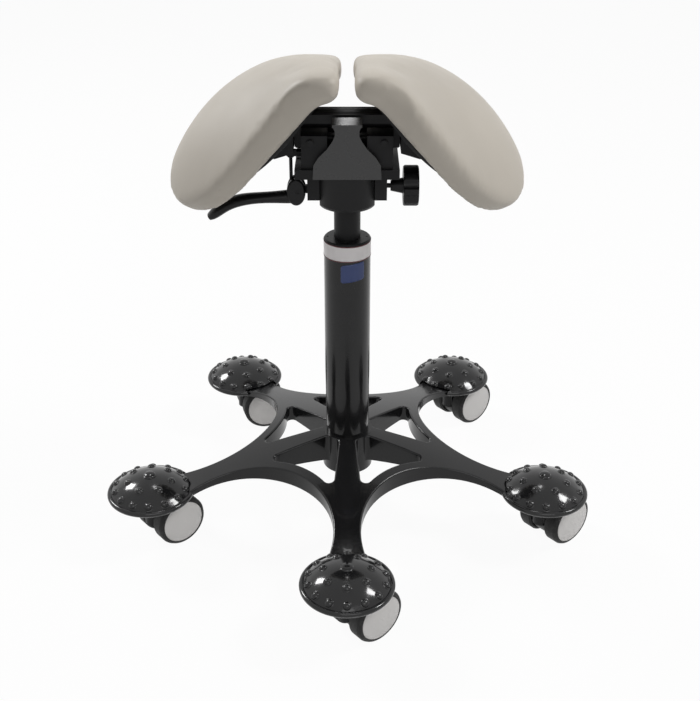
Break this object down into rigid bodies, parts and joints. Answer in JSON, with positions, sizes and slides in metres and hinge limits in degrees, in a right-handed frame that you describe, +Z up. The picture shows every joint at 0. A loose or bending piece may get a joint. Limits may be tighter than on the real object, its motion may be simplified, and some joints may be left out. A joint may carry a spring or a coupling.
{
  "type": "saddle stool",
  "caption": "Height-adjustable saddle stool with a divided seat on a gas-spring column and a five-arm caster base.",
  "frame": {"origin": "on the column axis at floor level", "axes": "+Z up along the column, -Y towards the front of the seat and along one arm of the base, +X to the side of the tilt knob"},
  "size_m": [0.5451, 0.5206, 0.5449],
  "materials": {
    "gloss_black": "gloss powder coat",
    "cap_black": "gloss moulded plastic",
    "satin_black": "satin",
    "black_plastic": "fine moulded texture",
    "cover_black": "satin moulded",
    "tread_black": "soft tread",
    "disc_grey": "satin",
    "steel": "ground",
    "blackened_steel": "blackened",
    "chrome": "polished",
    "leatherette": "smooth upholstery",
    "pan_black": "moulded"
  },
  "bodies": {
    "base": {"base_star": "gloss_black", "arm_end_caps": "cap_black", "caster_stems": "steel", "column_tube": "gloss_black", "guide_bushing": "black_plastic", "lower_race": "steel", "bearing_balls": "steel"},
    "rod": {"piston_rod": "chrome", "rod_clip": "steel", "upper_race": "steel"},
    "mechanism": {"gas_cylinder": "satin_black", "mechanism_housing": "satin_black", "housing_skirt": "black_plastic", "front_cover": "cover_black", "housing_screws": "blackened_steel", "tilt_axle": "blackened_steel", "lever_pin": "blackened_steel"},
    "lever": {"height_lever": "black_plastic"},
    "link": {"release_link": "blackened_steel"},
    "rocker": {"release_rocker": "blackened_steel"},
    "pin": {"release_pin": "steel"},
    "knob": {"tilt_knob": "black_plastic"},
    "tilt": {"tilt_frame": "satin_black", "slide_rails": "blackened_steel"},
    "seat_left": {"cushion_left": "leatherette", "seat_pan_left": "pan_black", "seat_bracket_left": "satin_black"},
    "seat_right": {"cushion_right": "leatherette", "seat_pan_right": "pan_black", "seat_bracket_right": "satin_black"},
    "caster_front": {"caster_front_housing": "black_plastic", "caster_front_axle": "steel"},
    "caster_front_wheel_a": {"caster_front_wheel_a": "tread_black", "caster_front_disc_a": "disc_grey"},
    "caster_front_wheel_b": {"caster_front_wheel_b": "tread_black", "caster_front_disc_b": "disc_grey"},
    "caster_right": {"caster_right_housing": "black_plastic", "caster_right_axle": "steel"},
    "caster_right_wheel_a": {"caster_right_wheel_a": "tread_black", "caster_right_disc_a": "disc_grey"},
    "caster_right_wheel_b": {"caster_right_wheel_b": "tread_black", "caster_right_disc_b": "disc_grey"},
    "caster_right_rear": {"caster_right_rear_housing": "black_plastic", "caster_right_rear_axle": "steel"},
    "caster_right_rear_wheel_a": {"caster_right_rear_wheel_a": "tread_black", "caster_right_rear_disc_a": "disc_grey"},
    "caster_right_rear_wheel_b": {"caster_right_rear_wheel_b": "tread_black", "caster_right_rear_disc_b": "disc_grey"},
    "caster_left_rear": {"caster_left_rear_housing": "black_plastic", "caster_left_rear_axle": "steel"},
    "caster_left_rear_wheel_a": {"caster_left_rear_wheel_a": "tread_black", "caster_left_rear_disc_a": "disc_grey"},
    "caster_left_rear_wheel_b": {"caster_left_rear_wheel_b": "tread_black", "caster_left_rear_disc_b": "disc_grey"},
    "caster_left": {"caster_left_housing": "black_plastic", "caster_left_axle": "steel"},
    "caster_left_wheel_a": {"caster_left_wheel_a": "tread_black", "caster_left_disc_a": "disc_grey"},
    "caster_left_wheel_b": {"caster_left_wheel_b": "tread_black", "caster_left_disc_b": "disc_grey"}
  },
  "joints": [
    {"name": "seat_swivel", "type": "hinge", "parent": "base", "child": "rod", "pos_m": [0, 0, 0.066], "axis": [0, 0, 1], "continuous": true},
    {"name": "seat_height", "type": "slide", "parent": "rod", "child": "mechanism", "axis": [0, 0, 1], "range_m": [0, 0.19]},
    {"name": "seat_tilt", "type": "hinge", "parent": "mechanism", "child": "tilt", "pos_m": [0, 0.012, 0.45], "axis": [1, 0, 0], "range_deg": [-8, 6]},
    {"name": "left_half_slide", "type": "slide", "parent": "tilt", "child": "seat_left", "axis": [-1, 0, 0], "range_m": [0, 0.008]},
    {"name": "right_half_slide", "type": "slide", "parent": "tilt", "child": "seat_right", "axis": [1, 0, 0], "range_m": [0, 0.008]},
    {"name": "lever_pull", "type": "hinge", "parent": "mechanism", "child": "lever", "pos_m": [-0.051, 0, 0.3995], "axis": [0, 1, 0], "range_deg": [0, 9], "stiffness_Nm_per_rad": 1.5, "springref_deg": -17.19},
    {"name": "link_lift", "type": "slide", "parent": "mechanism", "child": "link", "axis": [0, 0, 1], "range_m": [0, 0.0012]},
    {"name": "rocker_turn", "type": "hinge", "parent": "mechanism", "child": "rocker", "pos_m": [-0.029, 0, 0.4386], "axis": [0, 1, 0], "range_deg": [0, 2.4]},
    {"name": "pin_press", "type": "slide", "parent": "mechanism", "child": "pin", "axis": [0, 0, -1], "range_m": [0, 0.0012]},
    {"name": "knob_turn", "type": "hinge", "parent": "mechanism", "child": "knob", "pos_m": [0.06, 0, 0.403], "axis": [1, 0, 0], "range_deg": [-540, 0]},
    {"name": "caster_front_swivel", "type": "hinge", "parent": "base", "child": "caster_front", "pos_m": [0, -0.232, 0.05], "axis": [0, 0, 1], "continuous": true},
    {"name": "caster_front_wheel_a_spin", "type": "hinge", "parent": "caster_front", "child": "caster_front_wheel_a", "pos_m": [0.01685, -0.21786, 0.0295], "axis": [-0.6428, 0.766, 0], "continuous": true},
    {"name": "caster_front_wheel_b_spin", "type": "hinge", "parent": "caster_front", "child": "caster_front_wheel_b", "pos_m": [0.01685, -0.21786, 0.0295], "axis": [-0.6428, 0.766, 0], "continuous": true},
    {"name": "caster_right_swivel", "type": "hinge", "parent": "base", "child": "caster_right", "pos_m": [0.22065, -0.07169, 0.05], "axis": [0, 0, 1], "continuous": true},
    {"name": "caster_right_wheel_a_spin", "type": "hinge", "parent": "caster_right", "child": "caster_right_wheel_a", "pos_m": [0.2375, -0.05755, 0.0295], "axis": [-0.6428, 0.766, 0], "continuous": true},
    {"name": "caster_right_wheel_b_spin", "type": "hinge", "parent": "caster_right", "child": "caster_right_wheel_b", "pos_m": [0.2375, -0.05755, 0.0295], "axis": [-0.6428, 0.766, 0], "continuous": true},
    {"name": "caster_right_rear_swivel", "type": "hinge", "parent": "base", "child": "caster_right_rear", "pos_m": [0.13637, 0.18769, 0.05], "axis": [0, 0, 1], "continuous": true},
    {"name": "caster_right_rear_wheel_a_spin", "type": "hinge", "parent": "caster_right_rear", "child": "caster_right_rear_wheel_a", "pos_m": [0.15322, 0.20183, 0.0295], "axis": [-0.6428, 0.766, 0], "continuous": true},
    {"name": "caster_right_rear_wheel_b_spin", "type": "hinge", "parent": "caster_right_rear", "child": "caster_right_rear_wheel_b", "pos_m": [0.15322, 0.20183, 0.0295], "axis": [-0.6428, 0.766, 0], "continuous": true},
    {"name": "caster_left_rear_swivel", "type": "hinge", "parent": "base", "child": "caster_left_rear", "pos_m": [-0.13637, 0.18769, 0.05], "axis": [0, 0, 1], "continuous": true},
    {"name": "caster_left_rear_wheel_a_spin", "type": "hinge", "parent": "caster_left_rear", "child": "caster_left_rear_wheel_a", "pos_m": [-0.11544, 0.19449, 0.0295], "axis": [-0.309, 0.9511, 0], "continuous": true},
    {"name": "caster_left_rear_wheel_b_spin", "type": "hinge", "parent": "caster_left_rear", "child": "caster_left_rear_wheel_b", "pos_m": [-0.11544, 0.19449, 0.0295], "axis": [-0.309, 0.9511, 0], "continuous": true},
    {"name": "caster_left_swivel", "type": "hinge", "parent": "base", "child": "caster_left", "pos_m": [-0.22065, -0.07169, 0.05], "axis": [0, 0, 1], "continuous": true},
    {"name": "caster_left_wheel_a_spin", "type": "hinge", "parent": "caster_left", "child": "caster_left_wheel_a", "pos_m": [-0.20379, -0.05755, 0.0295], "axis": [-0.6428, 0.766, 0], "continuous": true},
    {"name": "caster_left_wheel_b_spin", "type": "hinge", "parent": "caster_left", "child": "caster_left_wheel_b", "pos_m": [-0.20379, -0.05755, 0.0295], "axis": [-0.6428, 0.766, 0], "continuous": true}
  ],
  "couplings": [
    {"joint": "link_lift", "follows": "lever_pull", "m_per_rad": 0.006971},
    {"joint": "rocker_turn", "follows": "lever_pull", "ratio": 0.24038},
    {"joint": "pin_press", "follows": "lever_pull", "m_per_rad": 0.006971}
  ]
}
